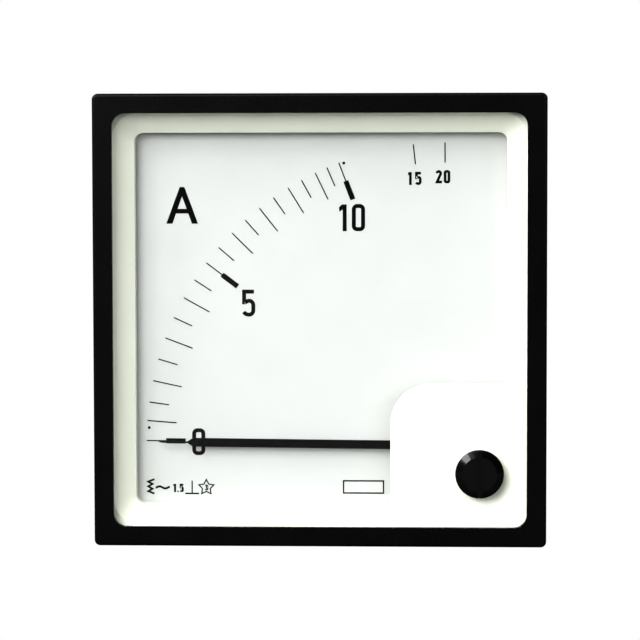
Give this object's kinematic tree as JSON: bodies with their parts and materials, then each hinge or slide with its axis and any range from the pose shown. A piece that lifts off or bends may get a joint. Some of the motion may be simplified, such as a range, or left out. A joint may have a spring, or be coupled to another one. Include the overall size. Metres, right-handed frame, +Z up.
{
  "type": "analog panel meter",
  "caption": "Square panel ammeter with a quadrant scale, a black bezel, a white mask and corner cover, a zero adjuster, a moving-iron movement in a closed case, and rear stud terminals.",
  "frame": {"origin": "middle of the bezel's rear face, which lies on the panel", "axes": "+X right and +Z up as the dial is read, +Y back into the panel"},
  "size_m": [0.096, 0.068, 0.096],
  "materials": {
    "black_moulding": "satin black moulded polycarbonate with a fine even grain",
    "case_moulding": "matt black moulded polycarbonate",
    "clear_window": "clear polycarbonate, polished on both faces",
    "seal": "thin black foam rubber",
    "white_moulding": "white moulded ABS with a soft sheen",
    "dial_paint": "matt white paint on aluminium sheet",
    "print_black": "black printing ink",
    "zinc_steel": "bright zinc plate",
    "frame_moulding": "natural glass filled nylon",
    "bobbin_moulding": "cream nylon",
    "enamelled_copper": "enamelled copper wire",
    "soft_iron": "annealed soft iron sheet",
    "brass": "turned brass",
    "bronze": "phosphor bronze strip",
    "hard_steel": "ground steel",
    "spring_steel": "blued spring steel",
    "pointer_black": "aluminium sheet in matt black paint",
    "bare_aluminium": "bare aluminium sheet",
    "knob_moulding": "gloss black moulded plastic"
  },
  "bodies": {
    "housing": {"bezel": "black_moulding", "window": "clear_window", "window_gasket": "seal", "dial_mask": "white_moulding", "dial_plate": "dial_paint", "scale_marks": "print_black", "dial_screws": "zinc_steel", "case": "case_moulding", "movement_frame": "frame_moulding", "damping_cover": "bare_aluminium", "coil_bobbin": "bobbin_moulding", "coil_winding": "enamelled_copper", "fixed_vane": "soft_iron", "movement_base": "frame_moulding", "base_screws": "zinc_steel", "movement_screws": "zinc_steel", "bridge_pillars": "brass", "front_bridge": "brass", "bridge_screws": "zinc_steel", "front_jewel_screw": "hard_steel", "rear_jewel_screw": "hard_steel", "jewel_locknuts": "brass", "terminal_links": "enamelled_copper", "terminal_studs": "brass", "stud_washers": "zinc_steel", "fixing_nuts": "brass", "terminal_plates": "zinc_steel", "spring_washers": "spring_steel", "clamp_nuts": "brass"},
    "pointer_assembly": {"spindle": "hard_steel", "pointer": "pointer_black", "pointer_hub": "brass", "balance_weights": "brass", "spring_collet": "brass", "moving_vane": "soft_iron", "damping_vane": "bare_aluminium"},
    "zero_lever_assembly": {"zero_lever": "brass", "hairspring": "bronze"},
    "zero_adjuster_assembly": {"zero_adjuster": "knob_moulding", "adjuster_clip": "spring_steel"}
  },
  "joints": [
    {"name": "pointer_swing", "type": "hinge", "parent": "housing", "child": "pointer_assembly", "pos_m": [0.027, 0, -0.02715], "axis": [0, 1, 0], "range_deg": [-3, 92], "stiffness_Nm_per_rad": 0.00005, "deforming": ["hairspring"]},
    {"name": "zero_adjuster_turn", "type": "hinge", "parent": "housing", "child": "zero_adjuster_assembly", "pos_m": [0.0339, 0, -0.0325], "axis": [0, 1, 0], "range_deg": [-45, 45]},
    {"name": "zero_lever_swing", "type": "hinge", "parent": "housing", "child": "zero_lever_assembly", "pos_m": [0.027, 0, -0.02715], "axis": [0, 1, 0], "range_deg": [-5, 5]}
  ],
  "couplings": [
    {"joint": "zero_lever_swing", "follows": "zero_adjuster_turn", "ratio": 0.097}
  ]
}
